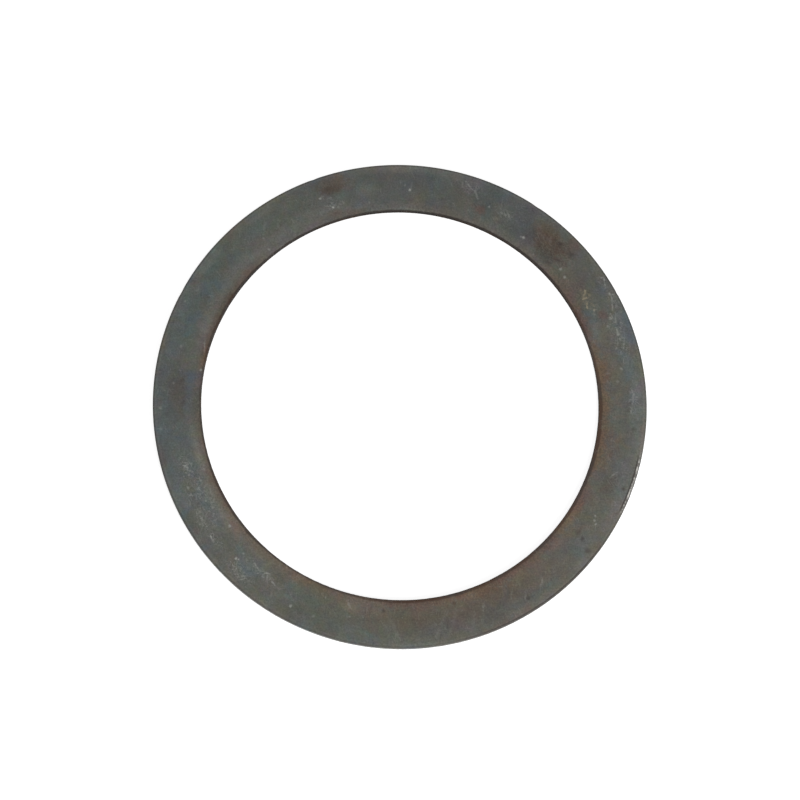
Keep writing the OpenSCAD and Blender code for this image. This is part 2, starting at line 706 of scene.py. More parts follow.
paint = {
    "cool": tone(76, 85, 88),
    "plain": tone(84, 85, 80),
    "warm": tone(91, 86, 75),
    "blue": tone(76, 86, 94),
    "paleBlue": tone(94, 104, 110),
    "violet": tone(96, 92, 100),
    "green": tone(78, 90, 85),
    "teal": tone(80, 92, 95),
    "deepTeal": tone(72, 79, 77),
    "plum": tone(80, 77, 82),
    "moss": tone(84, 86, 74),
    "khaki": tone(82, 77, 64),
    "cleanGrey": tone(96, 99, 97),
    "olive": tone(91, 91, 77),
    "pale": tone(102, 102, 97),
    "dark": tone(74, 77, 77),
    "tan": tone(101, 93, 80),
    "sand": tone(93, 87, 75),
    "paleTan": tone(110, 106, 97),
    "brown": tone(84, 74, 64),
    "umber": tone(80, 74, 67),
    "darkBrown": tone(75, 63, 53),
    "maroon": tone(78, 68, 66),
    "redBrown": tone(89, 74, 69),
    "thinRust": tone(96, 82, 70),
    "rustBloom": tone(104, 80, 62),
    "rustCrust": tone(70, 57, 49),
    "ochreRust": tone(92, 76, 58),
    "orangeRust": tone(100, 76, 57),
    "amberRust": tone(110, 92, 76),
    "redRust": tone(90, 70, 62),
    "pinkRust": tone(102, 87, 82),
    "darkRust": tone(70, 60, 51),
    # Dark scale, also used as painted shade along the bore's edge
    "darkScale": tone(50, 44, 41),
    "rustyScale": tone(60, 42, 31),
    # Near-black scale, also used as painted shade on the bore's wall and its top edge
    "wallScale": tone(26, 22, 20),
    "darkEdge": tone(60, 56, 52),
    "bareSteel": tone(176, 178, 172),
    "warmSteel": tone(168, 156, 128),
    # The glint is a painted highlight, lighter than the bare steel of the worn rim
    "glint": tone(196, 194, 188),
}
rustPaint = {"thin": paint["thinRust"], "bloom": paint["rustBloom"], "crust": paint["rustCrust"]}
oxidePaint = {"cool": paint["cool"], "plain": paint["plain"], "warm": paint["warm"]}

# Broad shifts of tone on the upper face: turn, radius, half arc, half reach in mm, amount, paint
tints = {
    "blue, left": (193, 48, 8, 2, 0.5, "blue"),
    "blue, lower left": (207.5, 47.8, 2, 1.4, 0.45, "blue"),
    "blue, lower left, pale": (213.5, 47.9, 2.4, 1.3, 0.6, "paleBlue"),
    "blue, far left": (166, 48, 4, 1.2, 0.35, "paleBlue"),
    "teal, upper left, long": (140, 46.2, 2.2, 2.2, 0.5, "teal"),
    "teal, foot": (266, 47.3, 2, 1.4, 0.45, "teal"),
    "cool, top": (71.5, 47.2, 2, 1, 0.6, "cool"),
    "cool, upper left": (124, 47.2, 2, 1.3, 0.45, "cool"),
    "deep, left": (190, 44.8, 3.4, 2.2, 0.55, "deepTeal"),
    "plum, by the stain": (64.6, 43.3, 2.4, 1.3, 0.9, "plum"),
    "plum, top": (86, 46.8, 2.4, 1.2, 0.45, "plum"),
    "plum, upper left": (119, 44.2, 2.2, 1.1, 0.35, "plum"),
    "plum, foot": (248, 47.4, 1.8, 0.8, 0.35, "plum"),
    "moss, left": (197, 44.8, 1.4, 1.2, 0.45, "moss"),
    "moss, upper right": (47, 43.6, 1.6, 0.9, 0.55, "moss"),
    "moss, lower right": (310, 44.8, 1.6, 1.2, 0.45, "moss"),
    "teal, left": (201, 44, 4, 2.4, 0.45, "teal"),
    "teal, upper left": (176, 47.6, 3, 1.4, 0.45, "teal"),
    "blue, by the bore": (190, 42.7, 3.6, 1.1, 0.7, "blue"),
    "blue, right": (351.5, 47.3, 2.8, 1.2, 0.35, "cool"),
    "blue, upper right": (14.5, 47.8, 4, 1.1, 0.35, "paleBlue"),
    "violet, upper right": (29.5, 48.2, 3, 1, 0.4, "violet"),
    "green, upper left": (150, 46.6, 17, 2.4, 0.5, "green"),
    "green, patch": (114.8, 44.6, 1.3, 0.9, 0.4, "green"),
    "grey, upper right": (30, 44.7, 2.8, 1.3, 0.36, "cleanGrey"),
    "dark, top": (92, 46, 20, 5.5, 0.4, "dark"),
    "dark, by the stain": (67, 45.2, 3.4, 4.2, 0.9, "dark"),
    "olive, foot": (264, 44.8, 15, 3.4, 0.5, "moss"),
    "olive, top": (93, 43.6, 2.6, 1.5, 0.35, "olive"),
    "olive, lower right": (308, 46.3, 3.6, 1.6, 0.3, "olive"),
    "brown, foot": (283.5, 44.2, 9, 2.6, 0.85, "khaki"),
    "brown, lower right": (301, 44.4, 8, 2.6, 0.75, "umber"),
    "dark, lower right": (306, 47, 5, 1.2, 0.45, "dark"),
    "dark, foot": (298.5, 47.2, 2.2, 1.1, 0.6, "dark"),
    "dark, right": (314, 44.6, 2.2, 1.8, 0.45, "dark"),
    "dark, upper left": (115.5, 42.8, 1.8, 1, 0.5, "dark"),
    "khaki, lower right": (304.5, 43.6, 2, 1.4, 0.5, "khaki"),
    "brown, upper right": (44.5, 44.4, 4.2, 2.6, 0.65, "umber"),
    "brown, right": (348.6, 44.4, 5, 1.5, 0.4, "khaki"),
    "sand, right": (19, 43.6, 6.5, 1.6, 0.65, "sand"),
    "sand, right, outer": (20.5, 45.4, 1.8, 2, 0.4, "sand"),
    "sand, lower left": (221.5, 43.6, 3.2, 1.2, 0.15, "tan"),
    "sand, foot": (238, 44.1, 3, 1.2, 0.35, "tan"),
    "sand, lower right": (338, 46, 1.6, 1.2, 0.4, "sand"),
    "tan, far left": (161, 47.5, 1.4, 1.4, 0.35, "tan"),
    "sand, rim": (316, 48.7, 6, 1, 0.6, "tan"),
    "warm, lower right": (320, 43.8, 18, 2.6, 0.36, "brown"),
    "pale, right": (4, 48.8, 12, 1.6, 0.4, "pale"),
    "pale, lower left": (224, 45.8, 18, 3.6, 0.22, "pale"),
    "pale, upper left": (142, 42.4, 20, 1.7, 0.6, "pale"),
    "pale, left": (168, 42, 6, 0.9, 0.6, "pale"),
    "pale, top rim": (96, 48.9, 12, 0.7, 0.55, "pale"),
    "pale, far left rim": (153.5, 48.5, 3.2, 0.8, 0.75, "pale"),
    "pale, upper left rim": (137, 48.5, 2.6, 0.7, 0.6, "pale"),
    "pale, upper left, spot": (109, 45, 1.8, 1.2, 0.5, "pale"),
    "pale, upper right, spot": (31.5, 42.4, 2.2, 1, 0.6, "pale"),
    "pale, lower right, rim": (328.5, 48.6, 1.8, 0.7, 0.5, "paleTan"),
    "tan, lower left": (218, 41.8, 15, 1.3, 0.7, "paleTan"),
    "tan, foot": (243, 41.6, 12, 1.3, 0.5, "tan"),
    "amber, foot": (266.5, 42.6, 1.8, 1.1, 0.65, "amberRust"),
    "amber, foot, beside": (272.5, 42.7, 2.6, 1.2, 0.4, "amberRust"),
    "amber, lower right": (327.5, 42.4, 2, 1, 0.4, "amberRust"),
    "sand, foot rim": (282, 48.9, 3.4, 0.9, 0.3, "paleTan"),
    "plum, far left": (143.6, 44.4, 1.6, 1.5, 0.45, "plum"),
    "cool, foot": (289, 46.4, 4, 1.6, 0.5, "cool"),
    "cool, foot, beside": (277.6, 47, 1.5, 2, 0.45, "cool"),
    "deep, lower right": (304.2, 45.2, 2, 1.3, 0.5, "deepTeal"),
    "cool, lower right": (333, 46.2, 2.2, 1.6, 0.5, "cool"),
    "violet, right rim": (343, 48.4, 2.6, 0.9, 0.35, "violet"),
    "olive, foot rim": (286, 48.6, 11, 1.2, 0.35, "olive"),
    "pale, right rim": (345, 48.2, 9, 1.2, 0.24, "paleTan"),
    "dim, lower right": (296, 45, 16, 2.8, 0.42, "umber"),
    "plum, top rim": (75, 48.9, 9, 0.8, 0.3, "plum"),
}
# Brown stains: turn, radius, half arc, half reach in mm, softness, amount, paint
stains = {
    "large, upper left": (53, 46.6, 1.7, 1.7, 0.55, 0.8, "umber"),
    "large, top": (53.4, 48.7, 1.3, 0.9, 0.6, 0.6, "redBrown"),
    "large, upper right": (60, 46.9, 2.6, 1.9, 0.55, 0.8, "brown"),
    "large, middle": (56.8, 44.6, 3.2, 2.4, 0.6, 0.95, "darkBrown"),
    "large, violet": (52.2, 43.8, 1.5, 1.3, 0.6, 0.8, "maroon"),
    "large, by the bore": (55.8, 42.6, 2.2, 1.3, 0.6, 0.55, "darkEdge"),
    "large, lower side": (62.6, 44.2, 1.6, 1.4, 0.7, 0.4, "darkEdge"),
    "brown dot": (34.3, 45, 1.2, 1, 0.5, 0.7, "redBrown"),
    "upper dot": (78.4, 43.6, 1.5, 1, 0.6, 0.75, "redBrown"),
    "upper left": (116.8, 48, 3, 1.5, 0.6, 0.7, "brown"),
    "upper left, lower": (117.2, 46.5, 2, 0.8, 0.7, 0.65, "darkRust"),
    "left": (186.5, 44.9, 3.2, 1.6, 0.7, 0.65, "umber"),
    "foot": (284.5, 45, 2.4, 1.3, 0.8, 0.5, "khaki"),
    "bore side": (118.6, 41.5, 1.7, 0.7, 0.6, 0.7, "redBrown"),
    "far left": (159, 48.4, 1.8, 0.9, 0.7, 0.35, "brown"),
    "far left, soft": (163, 44.8, 1.4, 0.8, 0.8, 0.4, "brown"),
    "right": (349, 45, 2.6, 1, 0.8, 0.5, "umber"),
    "red fleck": (223, 48.5, 0.9, 0.6, 0.6, 0.4, "pinkRust"),
    "rim, left": (204, 49, 1.6, 0.5, 0.7, 0.35, "brown"),
    "rim, right": (2.5, 49.3, 3, 0.6, 0.7, 0.45, "pinkRust"),
    "rim, lower right": (305, 49.4, 9, 0.5, 0.7, 0.5, "umber"),
    "violet spot": (115.2, 41.7, 0.9, 0.5, 0.6, 0.5, "violet"),
    "blue spot": (111.8, 41.7, 0.9, 0.5, 0.6, 0.55, "paleBlue"),
}
# Rust along the bore: turn, half arc in mm, how far it reaches from the bore in mm, amount, paint
boreRust = {
    "right, ochre": (4, 8, 1.9, 0.85, "ochreRust"),
    "right, ochre, dark": (1, 9, 1.2, 0.55, "darkRust"),
    "right, orange": (20, 4, 2.1, 0.8, "orangeRust"),
    "right, amber": (11.2, 2.2, 2, 0.55, "amberRust"),
    "right, orange, dark": (19, 1.8, 1.6, 0.45, "darkRust"),
    "right, wide": (17, 10, 3.4, 0.45, "thinRust"),
    "upper right, red": (37.5, 8, 1.4, 0.75, "redRust"),
    "upper right, wide": (46, 5, 3, 0.5, "thinRust"),
    "top right": (74, 12, 1.6, 0.4, "cleanGrey"),
    "top, clean": (102, 8, 1.6, 0.6, "cleanGrey"),
    "upper left": (133, 14, 1.7, 0.6, "cleanGrey"),
    "far left, tan": (149.5, 5, 1.2, 0.6, "thinRust"),
    "far left, dark": (158.5, 3.2, 1.1, 0.75, "darkRust"),
    "left, dark": (166.5, 4.2, 1, 0.75, "darkRust"),
    "left, orange": (176.5, 2.6, 1, 0.7, "orangeRust"),
    "left, clean": (190.5, 2.6, 2.2, 0.65, "deepTeal"),
    "left, pink": (196, 6, 0.9, 0.3, "brown"),
    "lower left": (217, 9, 1.4, 0.62, "thinRust"),
    "lower left, orange": (226, 6, 1.6, 0.45, "amberRust"),
    "foot, left": (243, 6, 1.2, 0.35, "thinRust"),
    "foot, pink": (249.5, 2, 2, 0.55, "pinkRust"),
    "foot, ochre": (256, 4.2, 2, 0.55, "ochreRust"),
    "foot, red": (272, 9, 1.5, 0.75, "thinRust"),
    "foot, brown": (286, 8, 1.7, 0.9, "redRust"),
    "foot, dark": (288, 11, 1, 0.6, "darkRust"),
    "lower right, orange": (303, 4.5, 1.9, 0.8, "orangeRust"),
    "lower right, crust": (305.2, 2.4, 2.1, 1, "rustCrust"),
    "lower right, dark": (308, 9, 1.15, 0.65, "darkRust"),
    "lower right, wide": (306, 10, 3.4, 0.5, "ochreRust"),
    "lower right, brown": (317, 8, 1.8, 0.75, "redRust"),
    "right, red": (334, 7, 1.9, 0.8, "redRust"),
    "right, red, dark": (333, 12, 1.3, 0.65, "darkRust"),
    "right, red, upper": (345, 5, 1.4, 0.58, "redRust"),
    "right, ochre, wide": (357, 4.2, 3.4, 0.75, "ochreRust"),
    "right, ochre, upper": (16, 8, 1.6, 0.45, "ochreRust"),
    "right, orange, lower": (335, 3.6, 2.4, 0.45, "amberRust"),
    "far left, wide": (164, 9, 2.3, 0.3, "thinRust"),
}
# The bore's dark line, partly scale and partly painted shade: turn, half arc in mm, how much wider in mm, how
# much darker
boreLine = {
    "lower right": (315, 36, 0.24, 0.3),
    "right": (6, 12, 0.22, 0.2),
    "upper right": (36, 8, 0.06, 0.1),
    "stain": (54, 5, 0.02, 0.2),
    "top": (95, 40, -0.22, 0.4),
    "top, thin": (97, 5, -0.06, -0.05),
    "upper left": (135, 9, -0.05, 0.26),
    "far left": (162, 12, 0.08, 0.34),
    "left": (197, 10, -0.07, 0.26),
    "lower left": (224, 12, 0.14, 0.3),
    "foot, left": (249, 10, -0.08, 0.14),
    "foot": (280, 7, 0.02, 0.16),
}
# Patches of short rub marks: turn, radius, half arc, half reach in mm, amount
scuffed = {
    "left, first": (207.6, 44.7, 2.4, 1.4, 0.34),
    "left, wide": (215.5, 44.6, 6.5, 2.4, 0.26),
    "lower left, outer": (221.5, 46.6, 2.2, 0.9, 0.3),
    "lower left, middle": (227.5, 46.4, 2.6, 1, 0.28),
    "lower left, crossed": (237.4, 47.3, 3, 1.4, 0.34),
    "lower left, inner": (241.8, 44.5, 4.2, 0.9, 0.26),
    "left, by the bore": (207, 41.8, 4, 0.6, 0.22),
    "right": (11.2, 47.2, 4.2, 1.1, 0.2),
    "upper right": (28, 46.9, 5.5, 1.3, 0.28),
    "upper right, rim": (38.5, 48.5, 4.6, 0.8, 0.28),
    "upper right, inner": (39, 43.8, 3, 1.2, 0.22),
    "in the stain": (57, 44.6, 5.5, 3.2, 0.08),
    "top right": (71.5, 44.9, 1.8, 1.2, 0.22),
    "top": (82, 47.3, 2.2, 1.2, 0.2),
    "upper left": (118.8, 43.6, 2.6, 1.6, 0.2),
    "right, lower": (352, 46.3, 2.2, 1.7, 0.1),
}
# Scratches: from turn, radius to turn, radius, half width in mm, bend in mm, amount
scratches = {
    "long, foot": (280.4, 48.9, 276.4, 42.8, 0.46, 0.1, 0.055),
    "pair, first": (288, 48.9, 292.6, 43.2, 0.44, 0, 0.09),
    "pair, second": (291.6, 48.4, 295.2, 43.2, 0.42, 0.1, 0.05),
    "faint, foot": (296.8, 48.8, 299.8, 44.3, 0.34, 0, 0.06),
    "short, foot": (301, 45.7, 302.5, 43.6, 0.28, 0, 0.14),
    "short, by the rim": (302, 48.8, 303.4, 47.3, 0.26, 0, 0.04),
    "slant, lower right": (308.8, 45.9, 310.3, 44.1, 0.28, 0, 0.07),
    "slant, outer": (311.8, 47.3, 313.3, 45.6, 0.26, 0, 0.14),
    "tick, lower right": (317, 46.7, 319, 45.3, 0.26, 0.15, 0.19),
    "crossing, top": (79.2, 45.2, 81.8, 47.6, 0.28, 0.1, 0.2),
    "crossing, fork": (81, 46.6, 84.4, 48.4, 0.26, -0.1, 0.3),
    "crossing, rim": (81.3, 48.9, 81, 46.6, 0.24, 0, 0.28),
    "streak, upper right": (34.2, 47.3, 38.2, 48.7, 0.2, 0, 0.28),
    "streak, second": (40, 48.2, 43, 49.3, 0.2, 0, 0.4),
    "streak, bright": (27.8, 46.5, 30, 46.8, 0.28, 0.1, 0.38),
    "hatch, first": (24, 46.6, 27, 47.6, 0.2, 0, 0.28),
    "hatch, second": (28.5, 47.2, 32, 48.6, 0.2, 0.1, 0.06),
    "streak, right": (9.4, 47, 13.8, 47.2, 0.22, 0.1, 0.22),
    "tick, right": (11.4, 48, 11.3, 45.9, 0.2, 0, 0.18),
    "streak, right, faint": (6.8, 46.3, 10, 47, 0.24, 0, 0.2),
    "yellow, first": (37.3, 42.7, 39.6, 43.6, 0.24, 0, 0.42),
    "yellow, second": (40.2, 44.4, 40.6, 42.6, 0.28, 0, 0.44),
    "yellow, third": (41, 43.6, 42.6, 44.7, 0.26, 0, 0.56),
    "left slant, first": (132.8, 45.9, 134.8, 43.7, 0.34, 0, 0.09),
    "left slant, second": (136.2, 46.7, 138.6, 44.7, 0.34, 0, 0.08),
    "left, wedge": (206.8, 45.4, 208.5, 44.7, 0.3, 0.1, 0.48),
    "left, tail": (208.3, 44.9, 209.5, 43.9, 0.24, 0, 0.17),
    "lower left, first": (220.4, 46.3, 223.2, 47, 0.28, 0.1, 0.22),
    "lower left, second": (225.6, 46.8, 227.4, 47, 0.28, 0, 0.44),
    "lower left, third": (235.2, 46.8, 238, 48.4, 0.24, 0.1, 0.09),
    "lower left, fourth": (237.6, 48.4, 239.8, 46.4, 0.22, 0, 0.3),
    "lower left, arc": (238.2, 44.1, 241.6, 44.5, 0.24, 0.25, 0.28),
    "lower left, fifth": (242, 44.1, 244, 43.6, 0.3, 0, 0.42),
    "lower left, sixth": (244, 44.2, 246.6, 45.2, 0.26, 0, 0.32),
    "bore, foot": (265.2, 41.5, 266.8, 43.4, 0.32, 0, 0.16),
    "curved, right": (350.2, 44.5, 353.2, 46.3, 0.24, -0.3, 0.2),
    "by the bore, left": (171.8, 41.6, 176.4, 40.8, 0.18, 0, 0.29),
}
# Bright flecks: turn, radius, size in mm, amount
flecks = {
    "top": (97.6, 44.6, 0.26, 0.63),
    "top, beside": (98.9, 45.5, 0.28, 0.17),
    "upper left, inner": (118.8, 42.9, 0.33, 0.8),
    "upper left, beside": (117.4, 42.7, 0.33, 0.18),
    "upper left, outer": (121.1, 45.5, 0.32, 0.47),
    "upper left, third": (108.8, 42.2, 0.32, 0.14),
    "by the dark zone": (64.1, 42.8, 0.36, 0.52),
    "by the dark zone, tail": (64.8, 42.6, 0.28, 0.2),
    "upper right": (48.4, 42.6, 0.35, 0.31),
    "upper right, tan": (50.8, 43.1, 0.35, 0.32),
    "top right": (76.3, 44.9, 0.26, 0.29),
    "left": (191.8, 48.3, 0.35, 0.18),
    "left, beside": (196.8, 48.5, 0.36, 0.14),
    "left, in the stain": (185.5, 45.9, 0.3, 0.13),
    "left, green": (175.7, 45.7, 0.35, 0.15),
    "left, by the bore": (181, 40.8, 0.28, 0.43),
    "upper left, by the bore": (140.3, 41.4, 0.26, 0.52),
    "lower left, high": (212.6, 46.1, 0.35, 0.33),
    "lower left, low": (213.9, 44.2, 0.36, 0.3),
    "lower left, early": (209.7, 45, 0.32, 0.24),
    "lower left, late": (217.6, 43.9, 0.32, 0.28),
    "lower left, inner": (226.8, 42.5, 0.33, 0.39),
    "lower left, large": (234.4, 45.8, 0.28, 0.5),
    "lower left, large, end": (234.9, 45.6, 0.24, 0.44),
    "lower left, small": (234.7, 44.1, 0.28, 0.37),
    "foot": (252.3, 46.9, 0.35, 0.4),
    "foot, beside": (258.3, 46.8, 0.32, 0.15),
    "right, first": (338, 46.2, 0.26, 0.44),
    "right, second": (338.6, 45.7, 0.28, 0.28),
    "right, third": (339.7, 45.3, 0.28, 0.47),
    "right, inner": (16.2, 44.3, 0.33, 0.15),
    "right, middle": (19.5, 45.4, 0.35, 0.3),
    "right, upper": (25, 45.4, 0.32, 0.28),
    "upper right, low": (31.3, 45.1, 0.35, 0.23),
    "upper right, high": (32.8, 46.3, 0.41, 0.42),
    "upper right, rim": (38.5, 48.4, 0.32, 0.38),
    "upper right, inner": (36.5, 44, 0.3, 0.38),
}
# Dark pits: turn, radius, size in mm, amount
pits = {
    "right, outer": (331.4, 48.1, 0.65, 0.55),
    "right, first": (333, 45.7, 0.49, 0.59),
    "right, second": (333.8, 44.3, 0.65, 0.46),
    "right, rim": (348.8, 48.1, 0.49, 0.63),
    "lower right": (312.8, 47.2, 0.49, 0.63),
    "foot, inner": (275.4, 42.5, 0.57, 0.74),
    "foot, second": (294.9, 42.1, 0.49, 0.95),
    "left, first": (190.5, 44, 0.65, 0.38),
    "left, second": (184.6, 44.2, 0.65, 0.44),
    "right, upper": (3.8, 47.4, 0.57, 0.42),
    "stain, first": (51.8, 46.6, 0.8, 0.7),
    "stain, second": (55.8, 46.6, 0.57, 0.6),
    "stain, third": (62.9, 45.2, 0.73, 0.31),
    "stain, fourth": (53, 43.8, 0.65, 0.52),
}
# Where the lines along the two edges change, and where the worn steel looks warm: turn, radius, half arc,
# half reach in mm, softness, break up, amount
edgePlaces = {
    "bore, black": (115, boreRadius, 46.0, 4.0, 0.4, 0.0, 0.70),
    "rim, black": (316, rimRadius, 14.0, 4.0, 0.4, 0.0, 0.50),
    "rim, clean, lower left": (238, rimRadius, 26.0, 4.0, 0.5, 0.0, 0.26),
    "rim, clean, right": (3, rimRadius, 14.0, 4.0, 0.5, 0.0, 0.34),
    "rim, bright": (350.5, rimRadius, 5.6, 3.0, 0.25, 0.6, 1.0),
    "steel, warm": (40, 43.6, 3.2, 1.6, 0.4, 0.0, 1.0),
}
# The upper face as a whole. Lines are measured in mm from the bore or the rim.
faceFinish = {
    "tintEdge": (0.9, 1.4),  # softness and break up
    "stainBreakUp": 2.6,
    "rustEdge": (0.8, 1.6),
    "lineEdge": (4.0, 0.6, 0.0),  # half reach, softness, break up
    "rustJag": 1.2,  # how far in mm each line wanders
    "scaleJag": 0.5,
    "rimJag": 0.3,
    "scuffEdge": (0.7, 2.0),
    "mottle": 1.20,  # blotches in the oxide
    "hue": 0.40,  # drift of its hue
    "strokes": 0.27,
    "hairlines": 0.10,
    "chips": 0.15,
    "chipSpacing": 2.6,
    "chipShare": 0.2,
    "grains": (0.28, 0.72),
    "rustSpeckle": (0.74, 1.24),  # darkest and lightest
    "stainSpeckle": (0.87, 1.12),
    "thinRust": (0.7, 3.0, 0.55),  # full, gone, amount
    # The bore's dark line is partly scale and partly painted shade
    "scaleLine": (0.52, 0.84, 0.52),  # full, gone, darkness
    "scaleRust": (0.45, 0.85),  # the rust over which the scale turns rusty
    # The black line at the top of the bore is painted shade
    "blackLine": 0.24,
    # The lighter line inside the rim is partly wear and partly a painted highlight
    "rubbedLine": (1.05, 0.80, 0.62, 0.48, 0.14),  # begins, full, ends, gone, how much lighter
    "rimLine": (0.56, 0.40, 0.45),  # begins, full, darkness
    "rimWider": 0.25,  # where it is blackest
    "glintShade": (0.95, 0.68, 0.85),
    "glints": (0.60, 0.46, 0.26, 0.14),  # begins, full, ends, gone
    "dashes": (0.15, 0.76),  # brightness between the dashes and in them
    "crust": (0.3, 1.8, 0.05),  # full, gone, height
    "hairlineDepth": 0.006,
}
# How every face shines: plain, and what wear, rust and the film's blotches do to it
shine = {
    "metal": 0.3,
    "metalWorn": 0.5,
    "rustHides": 0.9,
    "rough": 0.45,
    "roughFilm": 0.3,
    "roughRust": 0.2,
}


def onRing(turn, radius):
    return Vector((cos(radians(turn)) * radius, sin(radians(turn)) * radius, 0.0))


def millimetres(material, shift=(0.0, 0.0, 0.0)):
    own = put("TexCoord", {}, material.node_tree).outputs["Object"]
    return put("Mapping", {"Vector": own, "Scale": (1 / mm, 1 / mm, 1 / mm), "Location": shift}).outputs[0]


def faceShine(worn, rust, film, bright=0.0):
    metal = most(plus(shine["metal"], times(worn, shine["metalWorn"])), bright)
    metal = times(metal, less(1.0, times(rust, shine["rustHides"])))
    rough = plus(shine["rough"], times(film, shine["roughFilm"]), times(rust, shine["roughRust"]))
    return metal, rough


def finishSurface(material, color, metal, rough, height, specular=0.3):
    bump = put("Bump", {"Height": height, "Distance": mm, "Strength": 1.0})
    setSurface(material, {"Base Color": color, "Metallic": metal, "Roughness": rough,
                          "Specular IOR Level": specular, "Normal": bump.outputs["Normal"]})


def makeFaceFinish():
    material = newMaterial("oxidisedFace")
    place = millimetres(material)
    spot = useGroup("ringPlace", place=place)
    turn, radius, flat = spot["turn"], spot["radius"], spot["flat"]
    ragged = noise(place, "ragged")
    grains = noise(place, "grains")
    level = faceFinish

    def patch(atTurn, atRadius, halfArc, halfReach, softness, breakUp, amount):
        return useGroup("stain", turn=turn, radius=radius, ragged=ragged, atTurn=atTurn, atRadius=atRadius,
                        halfArc=halfArc, halfReach=halfReach, softness=softness, breakUp=breakUp,
                        amount=amount)["mask"]

    def glaze(mask, under, over, light):
        # A paint laid on thinly, so that the film's own light and dark stay in it
        return blend(mask, under, blend(1.0, paint[over], light, "MULTIPLY"))

    def dot(jagged, atTurn, atRadius, size, amount):
        return useGroup("spot", place=flat, jag=jagged, at=onRing(atTurn, atRadius), size=size,
                        amount=amount)["mask"]

    strokes = useGroup("strokes", place=place)
    film = useGroup("oxideFilm", place=place, mottle=level["mottle"], hue=level["hue"],
                    strokes=times(strokes["strokes"], level["strokes"]), **oxidePaint)
    color, shade = film["color"], film["shade"]
    for *where, amount, over in tints.values():
        color = glaze(patch(*where, *level["tintEdge"], amount), color, over, shade)
    # Stains and rust are speckled dark and light
    rusty = brighten(shade, fade(grains, *level["grains"], *level["rustSpeckle"]))
    stained = brighten(shade, fade(grains, *level["grains"], *level["stainSpeckle"]))
    for *where, softness, amount, over in stains.values():
        color = glaze(patch(*where, softness, level["stainBreakUp"], amount), color, over, stained)
    for pit in pits.values():
        color = blend(dot(ragged, *pit), color, paint["darkScale"])
    # Rust creeps in from the bore
    full, gone, amount = level["thinRust"]
    reach = plus(radius, times(ragged, level["rustJag"]))
    rust = fade(reach, boreRadius + full, boreRadius + gone, amount, 0.0)
    color = glaze(rust, color, "thinRust", rusty)
    for atTurn, halfArc, reach, amount, over in boreRust.values():
        mask = patch(atTurn, boreRadius, halfArc, reach, *level["rustEdge"], amount)
        color = glaze(mask, color, over, rusty)
        rust = most(rust, mask)
    # A dark line on the bore's rolled corner, partly scale and partly painted shade: thin and black at the
    # top, where it stands for the shaded wall, wider and softer at the lower right
    full, gone, dark = level["scaleLine"]
    reach = plus(radius, times(ragged, level["scaleJag"]))
    for atTurn, halfArc, wider, darker in boreLine.values():
        mask = patch(atTurn, boreRadius, halfArc, *level["lineEdge"], 1.0)
        reach = less(reach, times(mask, wider))
        dark = plus(dark, times(mask, darker))
    scale = fade(reach, boreRadius + full, boreRadius + gone, 1.0, 0.0)
    scaleAndShadeColor = blend(fade(rust, *level["scaleRust"]), paint["darkScale"], paint["rustyScale"])
    color = blend(times(scale, dark), color, scaleAndShadeColor)
    # At the top the bore's edge is painted black, a painted shade for the bore's wall lying in shade there
    boreBlackShade = times(patch(*edgePlaces["bore, black"]),
                      fade(radius, boreRadius, boreRadius + level["blackLine"], 1.0, 0.0))
    color = blend(boreBlackShade, color, paint["wallScale"])
    # A thin dark line along the rim, blackest at the lower right, and inside it a lighter line, partly wear
    # and partly a painted highlight of the rolled corner
    edge = less(radius, times(ragged, level["rimJag"]))
    begins, full, ends, gone, lighter = level["rubbedLine"]
    wornHighlight = times(fade(edge, rimRadius - begins, rimRadius - full),
                   fade(edge, rimRadius - ends, rimRadius - gone, 1.0, 0.0))
    color = brighten(color, plus(1.0, times(wornHighlight, lighter)))
    begins, full, dark = level["rimLine"]
    rimBlack = patch(*edgePlaces["rim, black"])
    clean = most(patch(*edgePlaces["rim, clean, lower left"]), patch(*edgePlaces["rim, clean, right"]))
    edge = plus(edge, times(rimBlack, level["rimWider"]))
    line = times(fade(edge, rimRadius - begins, rimRadius - full), less(plus(dark, rimBlack), clean))
    color = blend(line, color, paint["darkEdge"])
    # What has been rubbed down to the steel
    area = 0.0
    for *where, amount in scuffed.values():
        area = most(area, patch(*where, *level["scuffEdge"], amount))
    worn = most(times(strokes["hairlines"], level["hairlines"]),
                times(useGroup("scuffs", place=place)["mask"], area))
    jag = noise(place, "jag")
    for fromTurn, fromRadius, toTurn, toRadius, halfWidth, bend, amount in scratches.values():
        start, end = onRing(fromTurn, fromRadius), onRing(toTurn, toRadius)
        run = (end - start).normalized()
        along = run / ((end - start).length / 2)
        across = Vector((-run.y, run.x, 0.0)) / halfWidth
        mask = useGroup("scratch", place=flat, jag=jag, at=(start + end) / 2, along=along, across=across,
                        bend=bend / halfWidth, amount=amount)["mask"]
        worn = most(worn, mask)
    for fleck in flecks.values():
        worn = most(worn, dot(jag, *fleck))
    chips = useGroup("chips", place=place, spacing=level["chipSpacing"], share=level["chipShare"])["mask"]
    worn = most(worn, times(chips, level["chips"]))
    steel = blend(patch(*edgePlaces["steel, warm"]), paint["bareSteel"], paint["warmSteel"])
    color = blend(worn, color, steel)
    # On the right the rim's corner is worn to bare steel, with a painted highlight on it in bright dashes,
    # beside a dark line
    bright = patch(*edgePlaces["rim, bright"])
    begins, full, dark = level["glintShade"]
    beside = times(fade(radius, rimRadius - begins, rimRadius - full), bright, dark)
    color = blend(beside, color, paint["darkScale"])
    begins, full, ends, gone = level["glints"]
    dashes = fade(noise(place, "dashes"), 0.38, 0.58, *level["dashes"])
    glints = times(fade(radius, rimRadius - begins, rimRadius - full),
                   fade(radius, rimRadius - ends, rimRadius - gone, 1.0, 0.0), dashes, bright)
    color = blend(glints, color, paint["glint"])
    metal, rough = faceShine(worn, rust, film["film"], glints)
